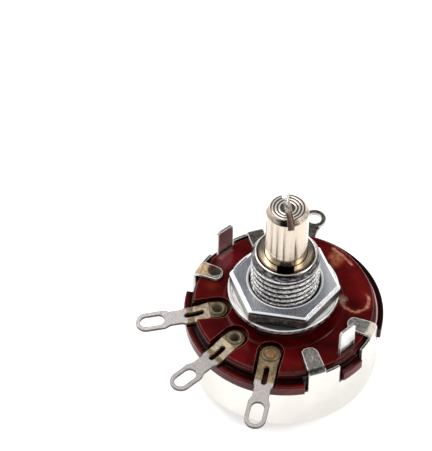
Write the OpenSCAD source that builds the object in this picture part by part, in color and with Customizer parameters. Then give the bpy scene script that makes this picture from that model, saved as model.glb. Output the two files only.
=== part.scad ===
// Rotary potentiometer, single gang, shaft up.
// Origin: centre of the can's flat back, on the shaft's axis. +Z along the shaft.
// The middle terminal points to -Y, the standing lugs are near +X and -X.

/* [Dust cover] */
// Height of the base's raised face over the can's flat back
base_face_z = 13.1; // [12.4:0.1:15]
// Outer radius of the can's wall
cover_r = 14.0; // [13:0.1:16]
// Thickness of the can's sheet
sheet_t = 0.4; // [0.3:0.05:0.45]
// How far the flat of the back stands out from the annulus around it
back_step = 1.3; // [0.7:0.1:1.6]
// Distance from the can's wall in to the edge of the back's flat
back_flat_in = 3.1; // [2.8:0.1:4.5]
// Outer radius of the bend between wall and back
cover_bend_r = 1.2; // [0.9:0.1:1.3]

/* [Rim tabs and locating lugs] */
// Angle of each holding tab from the middle of its group
tab_angle = 23.5; // [22:0.5:25]
// Width of a holding tab
tab_w = 2.5; // [2:0.1:2.7]
// Reach of a holding tab in from the can's wall
tab_reach = 4.1; // [3.2:0.1:4.6]
// How much further the tab beside the right lug, towards the terminals, reaches
long_tab_more = 0.5; // [0:0.1:0.6]
// Turn of the left group's middle from the -X direction
left_group_turn = -1.5; // [-2:0.5:2]
// Width of a standing lug
lug_w = 2.8; // [2:0.1:3]
// Height of a standing lug over the base's face
lug_h = 4.4; // [2:0.1:5]
// Distance from the can's wall in to the right lug's inner face
lug_right_in = 2.05; // [1.9:0.05:2.2]
// Distance from the can's wall in to the left lug's inner face
lug_left_in = 1.2; // [1.2:0.05:1.5]
// Distance by which the right lug stands off its group's middle
lug_right_off = 0.6; // [0:0.1:0.7]

/* [Ground lug] */
// Direction of the can's ground lug
ground_angle = 122.5; // [115:0.5:130]
// Distance of the ground lug's hole outside the can's wall
ground_out = 5.5; // [4.6:0.1:7]
// Radius of the ground lug's hole
ground_hole_r = 1.0; // [0.7:0.05:1.1]

/* [Base] */
// Height of the raised disc over the flange
disc_h = 1.7; // [1.4:0.1:2.2]
// Distance from the can's wall in to the raised disc's edge
disc_in = 1.0; // [0.9:0.05:1.2]
// Thickness of the flange
flange_h = 1.85; // [1.7:0.05:2.4]
// How far the flange stands out over the can's wall
flange_over = 0.45; // [0.1:0.05:0.6]

/* [Bushing, nut and washer] */
// Diameter over the crests of the bushing's thread
bushing_d = 9.9; // [9.6:0.1:9.9]
// Height of the bushing's mouth over the base's face
bushing_h = 11.0; // [9:0.5:16]
// Height of the shoulder that carries the flat washer
shoulder_h = 2.15; // [1:0.05:2.6]
// Width of the flat washer over the nut's flats
washer_over = 2.0; // [0:0.1:2.2]
// Thickness of the flat washer
washer_t = 0.8; // [0.5:0.05:1]
// Distance by which the loose washer lies off the axis
washer_shift = 0.15; // [0:0.05:0.3]
// Direction in which the loose washer lies off the axis
washer_shift_angle = 200; // [0:1:359]
// Width of the nut across its flats
nut_af = 14.0; // [13.6:0.1:14]
// Height of the nut
nut_h = 2.05; // [1.6:0.05:2.6]
// Bevel along the nut's upper edges
nut_bevel = 0.45; // [0.1:0.05:0.5]
// Angle of one of the nut's corners
nut_corner_angle = 38; // [0:1:59]

/* [Shaft] */
// Diameter of the shaft
shaft_d = 6.0; // [5.8:0.05:6]
// Distance of the shaft's end over the bushing's mouth
shaft_out = 9.4; // [6:0.2:20]
// Width of the screwdriver slot
slot_w = 0.9; // [0.6:0.05:1.2]
// Depth of the screwdriver slot
slot_depth = 1.4; // [1:0.1:2.5]
// Direction of the slot at mid travel
slot_angle = 146; // [0:1:179]
// Room for turning between shaft and bushing, on the radius
shaft_fit = 0.04; // [0.02:0.01:0.08]

/* [Terminals] */
// Angle between neighbouring terminals
terminal_step = 35; // [34:0.5:36]
// Distance from the can's wall in to the middle of the rivets
rivet_in = 4.35; // [4.25:0.05:4.45]
// Reach of a terminal's tip outside the can's wall
terminal_out = 7.5; // [6.5:0.1:9]
// Thickness of the terminals
terminal_t = 0.4; // [0.3:0.05:0.4]
// Drop of an outer terminal's tip below its bend
tip_drop = 0.85; // [0:0.05:1]
// Drop of the middle terminal's tip below its bend
middle_tip_drop = 0.2; // [0:0.05:1]

/* [Element and wiper] */
// Angle turned from stop to stop
travel = 266; // [240:1:268]
// Radius of the round brush on the resistance track
brush_r = 0.55; // [0.4:0.05:0.6]
// Distance of the track's middle line outside the rivets' circle
track_off = 0.2; // [0.15:0.01:0.25]

/* [Hidden] */
back_flat_r = cover_r - back_flat_in;
tab_end_r = cover_r - tab_reach;
inner_cut_r = tab_end_r - long_tab_more - 0.9;
lug_right_x = cover_r - lug_right_in;
lug_left_x = cover_r - lug_left_in;
ground_hole_x = cover_r + ground_out;
disc_r = cover_r - disc_in;
rivet_x = cover_r - rivet_in;
terminal_tip_x = cover_r + terminal_out;
track_x = rivet_x + track_off;
washer_r = (nut_af + washer_over) / 2;
// radius that clears every piece of the rim, for cuts
clear_r = cover_r + 2;
flange_r = cover_r + flange_over;
under_z = base_face_z - disc_h - flange_h;
flange_top_z = base_face_z - disc_h;
wall_in = cover_r - sheet_t;
rim_z = under_z - 0.05;
wall_top_z = base_face_z - 0.3;
spigot_r = wall_in - 0.08;
notch_r = wall_in - 0.2;
slot_gap = 0.15;
bushing_r = bushing_d / 2;
// half way up the thread, where the nut and the bushing meet
thread_mid_r = bushing_r - 0.25;
foot_r = bushing_r + 0.3;
collar_r = foot_r + 0.8;
shoulder_r = bushing_r + 1.35;
mouth_z = base_face_z + bushing_h;
seat_z = base_face_z + shoulder_h;
nut_z = seat_z + washer_t;
nut_top_z = nut_z + nut_h;
shaft_r = shaft_d / 2;
shaft_top_z = mouth_z + shaft_out;
bore_r = shaft_r + shaft_fit;
groove_r = shaft_r - 0.5;
chamfer_w = 0.58;
chamfer_h = 0.7;
ring_t = 0.7;
ring_z = mouth_z - 0.55;
recess_r = shaft_r + 1.07;
ring_out_r = recess_r - 0.14;
recess_z = ring_z - 0.05;
pad_z = base_face_z - 0.45;
pocket_z = pad_z - terminal_t;
bend_x = rivet_x + 1.25;
rim_x = disc_r + 0.1;
step_r = rivet_x - 1.05;
bend_z = pad_z - 0.65;
tube_r = 0.95;
tube_bore_r = 0.72;
board_t = 1.0;
board_z = under_z - board_t;
track_z = board_z - 0.1;
spigot_in_r = spigot_r - 2.0;
board_out_r = spigot_in_r - 0.22;
board_in_r = board_out_r - 4.1;
collector_x = board_in_r + 0.65;
collector_w = 1.0;
track_w = 2.2;
web_t = 1.0;
carrier_h = 1.8;
carrier_drop = 3.15;
hub_drop = 0.8;
carrier_r = board_in_r + 1.2;
carrier_top_z = under_z - carrier_drop;
web_z = carrier_top_z - carrier_h;
hub_top_z = under_z - hub_drop;
hub_r = shaft_r + 1.2;
thrust_t = 0.38;
thrust_r = thread_mid_r;
tail_r = shaft_r - 0.5;
tail_half = shaft_r - 1.1;
// reach of the flatted tail into the shaft above it and into its riveted end below it
tail_lap = 0.1;
spring_t = 0.2;
collector_brush_r = 0.4;
arm_z = under_z - 2.1;
stop_in_r = foot_r + 0.1;
stop_out_r = board_in_r - 0.15;
stop_drop = 2.1;
stop_half = 30;
stop_tab_half = 180 - travel / 2 - stop_half - 1;
tab_bend_r = 0.75;
tab_z = base_face_z + 0.03;
left_mid = 180 + left_group_turn;
shelf_z = rim_z - 0.3;
// the block outside the lug's slot keeps a web beside it, also on a smaller can
notch_in = asin((lug_w / 2 + slot_gap + 0.1) / notch_r);
wall_end = notch_in + 1.9;
notch_out = 31.5;

// ring between two radii and two heights over part of a turn
module ring_part(r1, r2, z1, z2, a1, a2) {
    rotate([0, 0, a1])
        rotate_extrude(angle = a2 - a1, $fn = 120)
            translate([r1, z1]) square([r2 - r1, z2 - z1]);
}

// points of a quarter bend, centre c, radius r, from angle a1 to a2
function bend(c, r, a1, a2, n) =
    [for (i = [0 : n]) let (a = a1 + (a2 - a1) * i / n) [c[0] + r * cos(a), c[1] + r * sin(a)]];

function on_circle(r, a) = [r * cos(a), r * sin(a)];

// section of the can with its rim bent inward all the way round
module cover_section() {
    ann_z = back_step;
    ri = cover_bend_r - sheet_t;
    cx = cover_r - cover_bend_r;
    tx = cover_r - tab_bend_r;
    tz = tab_z + sheet_t - tab_bend_r;
    rotate_extrude($fn = 144)
        polygon(concat(
            [[0, 0]],
            bend([back_flat_r - 0.5, 0.5], 0.5, -90, -20, 4),
            bend([back_flat_r + 0.75, ann_z - 0.3], 0.3, 160, 90, 3),
            bend([cx, ann_z + cover_bend_r], cover_bend_r, -90, 0, 8),
            bend([tx, tz], tab_bend_r, 0, 90, 8),
            [[inner_cut_r + 0.4, tab_z + sheet_t], [inner_cut_r + 0.4, tab_z]],
            bend([tx, tz], tab_bend_r - sheet_t, 90, 0, 6),
            bend([cx, ann_z + cover_bend_r], ri, 0, -90, 6),
            bend([back_flat_r + 0.3, ann_z + sheet_t - 0.25], 0.25, 90, 160, 3),
            bend([back_flat_r - 0.75, sheet_t + 0.3], 0.3, -20, -90, 3),
            [[0, sheet_t]]));
}

// outline of one holding tab seen from above, along +X; more is how far it reaches past the others
module tab_plan(more) {
    x = tab_end_r - more + tab_w / 2;
    translate([x, 0]) circle(r = tab_w / 2, $fn = 48);
    translate([x, -tab_w / 2]) square([clear_r - x + 0.5, tab_w]);
}

// can with its rim cut away, apart from the upright wall sections and their tabs
module cover_stamping() {
    difference() {
        cover_section();
        for (m = [0, left_mid])
            // gap in which the locating lug's shelf is bent inward
            ring_part(inner_cut_r, clear_r, shelf_z - 0.05, base_face_z + 3, m - wall_end,
                m + wall_end);
        ring_part(inner_cut_r, clear_r, rim_z, base_face_z + 3, 29, left_mid - 29);
        ring_part(inner_cut_r, clear_r, rim_z, base_face_z + 3, left_mid + 29, 331);
        translate([0, 0, wall_top_z])
            linear_extrude(height = 3)
                difference() {
                    circle(r = clear_r, $fn = 96);
                    for (m = [0, left_mid], s = [-1, 1])
                        rotate(m + s * tab_angle) tab_plan(m == 0 && s == -1 ? long_tab_more : 0);
                }
    }
}

// shelf bent inward from the rim under the base, with the lug that stands on it
module lug_bracket(x, off) {
    h = lug_w / 2;
    r = cover_r - 0.08;
    half = notch_in + 0.6;
    translate([0, 0, shelf_z - sheet_t])
        linear_extrude(height = sheet_t)
            polygon([[x + 0.05, off - h + 0.05], on_circle(r, -half), on_circle(r, -half / 2), [r, 0],
                on_circle(r, half / 2), on_circle(r, half), [x + 0.05, off + h - 0.05]]);
    translate([x, off, 0])
        rotate([90, 0, 90])
            linear_extrude(height = sheet_t)
                polygon([[-h, shelf_z - sheet_t - 0.05], [h, shelf_z - sheet_t - 0.05],
                    [h, base_face_z + lug_h - 0.35], [h - 0.25, base_face_z + lug_h],
                    [0.25 - h, base_face_z + lug_h], [-h, base_face_z + lug_h - 0.35]]);
}

module ground_lug() {
    rotate([0, 0, ground_angle])
        translate([0, 0, rim_z - 0.45])
            linear_extrude(height = 0.45)
                difference() {
                    union() {
                        polygon([[wall_in + 0.1, -1.8], [cover_r + 0.6, -1.5], [cover_r + 1.3, -1.45],
                            [cover_r + 1.9, -1.0],
                            [ground_hole_x - 2.4, -1.0], [ground_hole_x - 1.5, -1.3],
                            [ground_hole_x - 1.5, 1.3], [ground_hole_x - 2.4, 1.0],
                            [cover_r + 1.9, 1.0], [cover_r + 1.3, 1.45], [cover_r + 0.6, 1.5],
                            [wall_in + 0.1, 1.8]]);
                        translate([ground_hole_x, 0]) circle(r = 1.75, $fn = 48);
                    }
                    translate([ground_hole_x, 0]) circle(r = ground_hole_r, $fn = 48);
                }
}

module dust_cover() {
    color([0.93, 0.90, 0.84]) union() {
        cover_stamping();
        lug_bracket(lug_right_x, lug_right_off);
        rotate([0, 0, left_mid]) lug_bracket(lug_left_x, 0);
        ground_lug();
    }
}

module lug_slot(x, off) {
    translate([x - slot_gap, off - lug_w / 2 - slot_gap, under_z - 2])
        cube([sheet_t + 2 * slot_gap, lug_w + 2 * slot_gap, disc_h + flange_h + 4]);
    translate([x - 0.25, -4.2, under_z - 2]) cube([4, 8.4, 2.1]);
}

module terminal_pocket(a) {
    rotate([0, 0, a]) {
        translate([0, 0, pocket_z])
            linear_extrude(height = 3)
                union() {
                    translate([rivet_x, 0]) circle(r = 1.95, $fn = 48);
                    polygon([[rivet_x, -1.95], [bend_x + 0.2, -1.85], [rim_x + 2, -1.7],
                        [rim_x + 2, 1.7], [bend_x + 0.2, 1.85], [rivet_x, 1.95]]);
                }
        translate([0, 0, flange_top_z - 0.1])
            linear_extrude(height = 3)
                polygon([[bend_x - 0.05, -1.87], [rim_x + 2, -1.7], [rim_x + 2, 1.7],
                    [bend_x - 0.05, 1.87]]);
        translate([rivet_x, 0, under_z - 5]) cylinder(r = tube_r + 0.02, h = 12, $fn = 48);
    }
}

module base_body() {
    rotate_extrude($fn = 144)
        polygon([[0, under_z], [spigot_in_r, under_z], [spigot_in_r, under_z - 0.95],
            [spigot_r, under_z - 0.95], [spigot_r, under_z], [flange_r - 0.15, under_z],
            [flange_r, under_z + 0.15], [flange_r, flange_top_z - 0.15],
            [flange_r - 0.15, flange_top_z], [disc_r + 0.3, flange_top_z],
            [disc_r + 0.27, base_face_z - 0.8], [disc_r + 0.15, base_face_z - 0.68],
            [disc_r, base_face_z - 0.64], [disc_r - 0.05, base_face_z - 0.1],
            [disc_r - 0.15, base_face_z],
            [step_r + 0.2, base_face_z], [step_r, base_face_z + 0.12], [0, base_face_z + 0.12]]);
    // stop for the rotor's travel
    ring_part(stop_in_r, stop_out_r, under_z - stop_drop, under_z + 0.5, 270 - stop_half,
        270 + stop_half);
}

module base() {
    color([0.42, 0.03, 0.03])
        difference() {
            base_body();
            // seat of the moulded-in bushing
            translate([0, 0, under_z - 1]) cylinder(r = foot_r, h = base_face_z, $fn = 96);
            translate([0, 0, under_z + 1]) cylinder(r = collar_r, h = 1.4, $fn = 96);
            // notches for the can's upright wall sections
            ring_part(notch_r, clear_r, under_z - 2, base_face_z + 2, notch_in, notch_out);
            ring_part(notch_r, clear_r, under_z - 2, base_face_z + 2, -notch_out, -notch_in);
            ring_part(notch_r, clear_r, under_z - 2, base_face_z + 2, left_mid + notch_in,
                left_mid + notch_out + 5);
            ring_part(notch_r, clear_r, under_z - 2, base_face_z + 2, left_mid - notch_out,
                left_mid - notch_in);
            lug_slot(lug_right_x, lug_right_off);
            rotate([0, 0, left_mid]) lug_slot(lug_left_x, 0);
            for (k = [-1, 0, 1]) terminal_pocket(270 + k * terminal_step);
        }
}

module bushing() {
    color([0.72, 0.73, 0.74])
        rotate_extrude($fn = 120)
            polygon([[bore_r, under_z], [foot_r, under_z], [foot_r, under_z + 1],
                [collar_r, under_z + 1], [collar_r, under_z + 2.4], [foot_r, under_z + 2.4],
                [foot_r, base_face_z + 0.12],
                [shoulder_r, base_face_z + 0.12], [shoulder_r, seat_z - 0.2],
                [shoulder_r - 0.2, seat_z], [thread_mid_r, seat_z], [thread_mid_r, nut_top_z],
                [bushing_r, nut_top_z + 0.05], [bushing_r, mouth_z - 1.1],
                [bushing_r - 0.6, mouth_z - 0.1], [bushing_r - 0.7, mouth_z], [recess_r, mouth_z],
                [recess_r, recess_z], [bore_r, recess_z]]);
}

module mounting_nut() {
    corner_r = nut_af / 2 / cos(30);
    // corners are rounded off on this radius
    round_r = corner_r - 0.12;
    color([0.70, 0.73, 0.76])
        difference() {
            intersection() {
                translate([0, 0, nut_z]) rotate([0, 0, nut_corner_angle])
                    cylinder(r = corner_r, h = nut_h, $fn = 6);
                rotate_extrude($fn = 96)
                    polygon([[0, nut_z - 0.5], [round_r - 0.25, nut_z - 0.5],
                        [round_r - 0.2, nut_z + 0.02], [round_r, nut_z + 0.22],
                        [round_r, nut_top_z + 0.5], [0, nut_top_z + 0.5]]);
            }
            for (i = [0 : 5])
                rotate([0, 0, nut_corner_angle + 30 + 60 * i])
                    rotate([90, 0, 0])
                        linear_extrude(height = 2 * nut_af, center = true)
                            polygon([[nut_af / 2 - nut_bevel, nut_top_z],
                                [nut_af / 2 + 2, nut_top_z - nut_bevel - 2],
                                [nut_af / 2 + 2, nut_top_z + 2],
                                [nut_af / 2 - nut_bevel, nut_top_z + 2]]);
            rotate_extrude($fn = 96)
                polygon([[0, nut_z - 1], [thread_mid_r + 0.03, nut_z - 1],
                    [thread_mid_r + 0.03, nut_top_z - 0.6], [bushing_r + 0.45, nut_top_z + 0.05],
                    [bushing_r + 0.45, nut_top_z + 1], [0, nut_top_z + 1]]);
        }
}

module flat_washer() {
    bore = bushing_r + 0.4;
    color([0.80, 0.82, 0.84])
        translate([washer_shift * cos(washer_shift_angle), washer_shift * sin(washer_shift_angle), 0])
            rotate_extrude($fn = 120)
                polygon([[bore, seat_z], [washer_r - 0.12, seat_z], [washer_r, seat_z + 0.12],
                    [washer_r, nut_z - 0.12], [washer_r - 0.12, nut_z], [bore, nut_z]]);
}

module shaft() {
    color([0.88, 0.85, 0.80])
        difference() {
            union() {
                rotate_extrude($fn = 96)
                    polygon([[0, web_z + web_t], [shaft_r, web_z + web_t], [shaft_r, ring_z - 0.03],
                        [groove_r, ring_z - 0.03], [groove_r, ring_z + ring_t + 0.03],
                        [shaft_r, ring_z + ring_t + 0.03], [shaft_r, shaft_top_z - chamfer_h],
                        [shaft_r - chamfer_w, shaft_top_z], [0, shaft_top_z]]);
                // flatted tail through the carrier and its riveted end
                intersection() {
                    translate([0, 0, web_z - tail_lap])
                        cylinder(r = tail_r, h = web_t + 2 * tail_lap, $fn = 64);
                    translate([-tail_half, -shaft_r, web_z - tail_lap])
                        cube([2 * tail_half, 2 * shaft_r, web_t + 2 * tail_lap]);
                }
                rotate_extrude($fn = 64)
                    polygon([[0, web_z - 0.45], [tail_r - 0.2, web_z - 0.45],
                        [tail_r + 0.25, web_z - 0.2], [tail_r + 0.25, web_z], [0, web_z]]);
            }
            translate([0, 0, shaft_top_z - slot_depth])
                rotate([0, 0, slot_angle])
                    translate([-shaft_d, -slot_w / 2, 0]) cube([2 * shaft_d, slot_w, slot_depth + 1]);
        }
}

module retaining_ring() {
    color([0.90, 0.86, 0.78])
        difference() {
            translate([0, 0, ring_z])
                linear_extrude(height = ring_t)
                    difference() {
                        circle(r = ring_out_r, $fn = 96);
                        circle(r = groove_r + 0.01, $fn = 96);
                        rotate([0, 0, slot_angle + 169])
                            translate([0, -1.2]) square([ring_out_r + 1, 2.4]);
                    }
        }
}

// strip along +X, seen from above, eye at the outer end
module terminal_plan(hole, end_r) {
    tip = terminal_tip_x;
    difference() {
        union() {
            translate([rivet_x, 0]) circle(r = end_r, $fn = 48);
            polygon([[rivet_x, -end_r], [bend_x + 0.3, -1.4], [rim_x + 1.3, -1.4], [rim_x + 1.9, -1.18],
                [tip - 4.9, -1.18], [tip - 4.1, -1.55], [tip - 1.55, -1.55], [tip - 1.55, 1.55],
                [tip - 4.1, 1.55], [tip - 4.9, 1.18], [rim_x + 1.9, 1.18], [rim_x + 1.3, 1.4],
                [bend_x + 0.3, 1.4], [rivet_x, end_r]]);
            translate([tip - 1.55, 0]) circle(r = 1.55, $fn = 48);
        }
        translate([rivet_x, 0]) circle(r = hole, $fn = 48);
        // slot over the rim
        translate([rim_x - 1.1, 0]) circle(r = 0.4, $fn = 24);
        translate([rim_x + 1, 0]) circle(r = 0.4, $fn = 24);
        translate([rim_x - 1.1, -0.4]) square([2.1, 0.8]);
        // eye for the wire
        translate([tip - 3.2, 0]) circle(r = 0.95, $fn = 32);
        translate([tip - 1.5, 0]) circle(r = 0.95, $fn = 32);
        translate([tip - 3.2, -0.95]) square([1.7, 1.9]);
    }
}

module terminal(a, drop, end_r) {
    tip = terminal_tip_x;
    color([0.74, 0.73, 0.70])
        rotate([0, 0, a])
            intersection() {
                translate([0, 0, flange_top_z - 2])
                    linear_extrude(height = 6) terminal_plan(tube_r + 0.01, end_r);
                rotate([90, 0, 0])
                    linear_extrude(height = 8, center = true)
                        polygon([[rivet_x - 4, pad_z], [bend_x, pad_z], [rim_x, bend_z],
                            [tip + 1, bend_z - drop], [tip + 1, bend_z - drop - terminal_t],
                            [rim_x - 0.08, bend_z - terminal_t],
                            [bend_x - 0.06, pad_z - terminal_t], [rivet_x - 4, pad_z - terminal_t]]);
            }
}

module terminal_left() { terminal(270 - terminal_step, tip_drop, 1.38); }
module terminal_middle() { terminal(270, middle_tip_drop, 1.38); }
module terminal_right() { terminal(270 + terminal_step, tip_drop, 1.5); }

// hollow rivet through terminal, base and element board
module eyelet(a) {
    color([0.66, 0.62, 0.50])
        rotate([0, 0, a]) translate([rivet_x, 0, 0])
            rotate_extrude($fn = 48)
                polygon([[tube_bore_r, track_z - 0.35], [1.1, track_z - 0.35], [1.2, track_z - 0.25],
                    [1.2, track_z], [tube_r, track_z], [tube_r, pad_z], [1.15, pad_z],
                    [1.15, pad_z + 0.2], [1.02, pad_z + 0.33], [0.84, pad_z + 0.33],
                    [tube_bore_r, pad_z + 0.15]]);
}

module eyelet_left() { eyelet(270 - terminal_step); }
module eyelet_middle() { eyelet(270); }

module rivet_right() {
    color([0.66, 0.56, 0.44])
        rotate([0, 0, 270 + terminal_step]) translate([rivet_x, 0, 0])
            rotate_extrude($fn = 48)
                polygon([[0, track_z - 0.35], [1.1, track_z - 0.35], [1.2, track_z - 0.25],
                    [1.2, track_z], [tube_r, track_z], [tube_r, pad_z], [1.3, pad_z],
                    [1.3, pad_z + 0.15], [1.15, pad_z + 0.28], [0.85, pad_z + 0.28],
                    [0.72, pad_z + 0.16], [0.5, pad_z + 0.16], [0.42, pad_z + 0.22], [0, pad_z + 0.22]]);
}

module element_board() {
    color([0.45, 0.30, 0.16])
        difference() {
            translate([0, 0, board_z])
                difference() {
                    cylinder(r = board_out_r, h = board_t, $fn = 120);
                    translate([0, 0, -1]) cylinder(r = board_in_r, h = board_t + 2, $fn = 96);
                }
            for (k = [-1, 0, 1])
                rotate([0, 0, 270 + k * terminal_step])
                    translate([rivet_x, 0, board_z - 1]) cylinder(r = tube_r + 0.02, h = 4, $fn = 48);
        }
}

module resistance_track() {
    color([0.10, 0.10, 0.10])
        difference() {
            ring_part(track_x - track_w / 2, track_x + track_w / 2, track_z, board_z,
                terminal_step - 98, 278 - terminal_step);
            for (k = [-1, 1])
                rotate([0, 0, 270 + k * terminal_step])
                    translate([rivet_x, 0, track_z - 1]) cylinder(r = tube_r + 0.02, h = 4, $fn = 48);
        }
}

module collector_ring() {
    color([0.80, 0.80, 0.78])
        difference() {
            translate([0, 0, track_z])
                linear_extrude(height = 0.1)
                    union() {
                        difference() {
                            circle(r = collector_x + collector_w / 2, $fn = 96);
                            circle(r = collector_x - collector_w / 2, $fn = 96);
                        }
                        translate([-0.9, -rivet_x]) square([1.8, rivet_x - collector_x]);
                        translate([0, -rivet_x]) circle(r = 1.45, $fn = 48);
                    }
            translate([0, -rivet_x, track_z - 1]) cylinder(r = tube_r + 0.02, h = 4, $fn = 48);
        }
}

module rotor_carrier() {
    color([0.16, 0.12, 0.10])
        difference() {
            union() {
                translate([0, 0, web_z]) cylinder(r = carrier_r, h = carrier_h, $fn = 96);
                translate([0, 0, web_z]) cylinder(r = hub_r, h = hub_top_z - web_z, $fn = 72);
                // stop tab, meets the base's stop at both ends of travel
                ring_part(stop_in_r + 0.05, stop_out_r - 0.05, carrier_top_z - 0.5, hub_top_z - 0.1,
                    90 - stop_tab_half, 90 + stop_tab_half);
            }
            translate([0, 0, web_z + web_t])
                cylinder(r = shaft_r + 0.02, h = hub_top_z - web_z, $fn = 72);
            intersection() {
                translate([0, 0, web_z - web_t])
                    cylinder(r = tail_r + 0.02, h = 3 * web_t, $fn = 64);
                translate([-tail_half - 0.02, -shaft_r, web_z - web_t])
                    cube([2 * tail_half + 0.04, 2 * shaft_r, 3 * web_t]);
            }
            translate([0, 0, web_z - 0.55]) cylinder(r = 1.9, h = 0.55, $fn = 48);
        }
}

// sprung arm from p to q, rising from z1 to z2
module arm(p, q, z1, z2, w) {
    d = q - p;
    l = norm(d);
    translate([p[0], p[1], z1])
        rotate([0, 0, atan2(d[1], d[0])])
            rotate([90, 0, 0])
                linear_extrude(height = w, center = true)
                    polygon([[-0.6, 0], [0, 0], [l, z2 - z1], [l + 0.4, z2 - z1],
                        [l + 0.4, z2 - z1 + spring_t], [l - 0.05, z2 - z1 + spring_t],
                        [-0.05, spring_t], [-0.6, spring_t]]);
}

module wiper_spring() {
    a = 34;
    p = [track_x * sin(a), track_x * cos(a)];
    z = carrier_top_z;
    color([0.82, 0.62, 0.32])
        union() {
            translate([0, 0, z])
                linear_extrude(height = spring_t)
                    union() {
                        difference() {
                            circle(r = carrier_r - 0.1, $fn = 96);
                            circle(r = board_in_r - 0.1, $fn = 96);
                        }
                        rotate([0, 0, 90 - a]) translate([board_in_r + 0.5, -0.8])
                            square([track_x - board_in_r + 0.1, 1.6]);
                    }
            arm(p, [0, track_x], z, arm_z, 1.2);
            translate([0, track_x, arm_z]) cylinder(r = brush_r + 0.2, h = spring_t, $fn = 36);
            arm(on_circle(collector_x, 230), [0, -collector_x], z, arm_z, 0.8);
            translate([0, -collector_x, arm_z])
                cylinder(r = collector_brush_r + 0.15, h = spring_t, $fn = 36);
        }
}

module brush(r, x, y) {
    color([0.20, 0.20, 0.22])
        translate([x, y, arm_z + spring_t])
            cylinder(r = r, h = track_z - 0.03 - arm_z - spring_t, $fn = 36);
}

module track_brush() { brush(brush_r, 0, track_x); }
module collector_brush() { brush(collector_brush_r, 0, -collector_x); }

module thrust_washer() {
    color([0.75, 0.73, 0.68])
        translate([0, 0, under_z - 0.05 - thrust_t])
            difference() {
                cylinder(r = thrust_r, h = thrust_t, $fn = 72);
                translate([0, 0, -1]) cylinder(r = bore_r + 0.05, h = 3, $fn = 72);
            }
}

// dished spring washer under the thrust washer
module spring_washer() {
    color([0.70, 0.70, 0.72])
        rotate_extrude($fn = 72)
            polygon([[bore_r + 0.05, hub_top_z + 0.02], [bore_r + 0.15, hub_top_z + 0.02],
                [hub_r - 0.1, under_z - thrust_t - 0.25], [hub_r - 0.1, under_z - thrust_t - 0.08],
                [hub_r - 0.2, under_z - thrust_t - 0.08], [bore_r + 0.05, hub_top_z + 0.2]]);
}

dust_cover();
base();
bushing();
mounting_nut();
flat_washer();
shaft();
retaining_ring();
terminal_left();
terminal_middle();
terminal_right();
eyelet_left();
eyelet_middle();
rivet_right();
element_board();
resistance_track();
collector_ring();
rotor_carrier();
wiper_spring();
track_brush();
collector_brush();
thrust_washer();
spring_washer();
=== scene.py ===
"""Rotary potentiometer: threaded bushing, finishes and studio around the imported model."""

import math

import bmesh
import bpy
from bpy.props import FloatProperty, FloatVectorProperty, IntProperty, PointerProperty
from bpy.types import Operator, Panel, PropertyGroup
from mathutils import Matrix, Vector


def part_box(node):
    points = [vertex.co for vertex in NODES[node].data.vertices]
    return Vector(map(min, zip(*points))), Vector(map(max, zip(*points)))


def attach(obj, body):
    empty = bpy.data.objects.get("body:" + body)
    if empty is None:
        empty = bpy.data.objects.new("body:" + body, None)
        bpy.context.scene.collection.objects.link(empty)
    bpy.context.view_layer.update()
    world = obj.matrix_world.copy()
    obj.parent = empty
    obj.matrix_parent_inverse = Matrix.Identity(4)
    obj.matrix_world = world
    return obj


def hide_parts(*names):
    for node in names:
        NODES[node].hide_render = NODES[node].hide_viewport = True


bl_info = {
    "name": "Rotary potentiometer",
    "version": (1, 0, 0),
    "blender": (4, 5, 0),
    "location": "3D View > Sidebar > Potentiometer",
    "description": "Threaded bushing, finishes and studio for a rotary potentiometer",
    "category": "Object",
}

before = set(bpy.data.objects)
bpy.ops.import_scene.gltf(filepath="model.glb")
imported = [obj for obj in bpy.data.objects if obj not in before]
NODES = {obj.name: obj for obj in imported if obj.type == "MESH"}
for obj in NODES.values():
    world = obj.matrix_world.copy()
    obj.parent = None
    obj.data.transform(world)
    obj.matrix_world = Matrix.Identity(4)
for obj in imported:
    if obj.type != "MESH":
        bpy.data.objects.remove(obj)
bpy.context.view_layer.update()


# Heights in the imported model, in metres
UNDER_Z = 0.00955
BASE_FACE_Z = 0.0131
SEAT_Z = float(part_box("flat_washer")[0].z)
NUT_TOP_Z = float(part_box("mounting_nut")[1].z)
RECESS_Z = 0.0235
MOUTH_Z = float(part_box("bushing")[1].z)
SHAFT_TOP_Z = float(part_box("shaft")[1].z)

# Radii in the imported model
SHAFT_R = 0.003
BORE_R = 0.00304
RECESS_R = 0.00407
MID_R = 0.0047
CREST_R = 0.00490
FOOT_R = 0.00525
COLLAR_R = 0.00605
SHOULDER_R = 0.0063
BACK_STEP_R = 0.0112
DISC_R = 0.013
FOLD_R = 0.01345
LIP_R = 0.01350

# Radii of the painted rings: a painted highlight round the nut's hole, a painted reflection and an
# amber streak near the disc's rim
NUT_RING_R = 0.00535
STREAK_R = 0.01215

# The bushing's thread, its chamfered mouth and the heights between which it is cut
THREAD_LOW_Z = NUT_TOP_Z - 0.0007
THREAD_HIGH_Z = MOUTH_Z - 0.00095
CHAMFER_LOW_Z = MOUTH_Z - 0.0001
CHAMFER_DEPTH = 0.00052
MOUTH_DEPTH = 0.00062
THREAD_ROWS = 100
ROUND_OFF = 1e-6

# The shaft's screwdriver slot
SLOT_DEPTH = 0.0014
SLOT_WIDTH = 0.0009
SLOT_ANGLE = math.radians(146)

# Directions seen from above, as (x, y)
NUT_FRONT = (0.616, -0.788)
RIGHT = (0.676, 0.737)
REAR = (-0.737, 0.676)
REAR_TABS = (-0.676, 0.737)

# Colours that several finishes share: white for edges that are partly rubbed and partly painted
# highlight, painted shade for corners, painted shade for gaps
RUBBED_AND_LIT_ZINC = (0.97, 0.97, 0.98)
ZINC_CORNER_SHADE = (0.02, 0.022, 0.025)
DARK_GAP_SHADE = (0.01, 0.008, 0.008)

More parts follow.
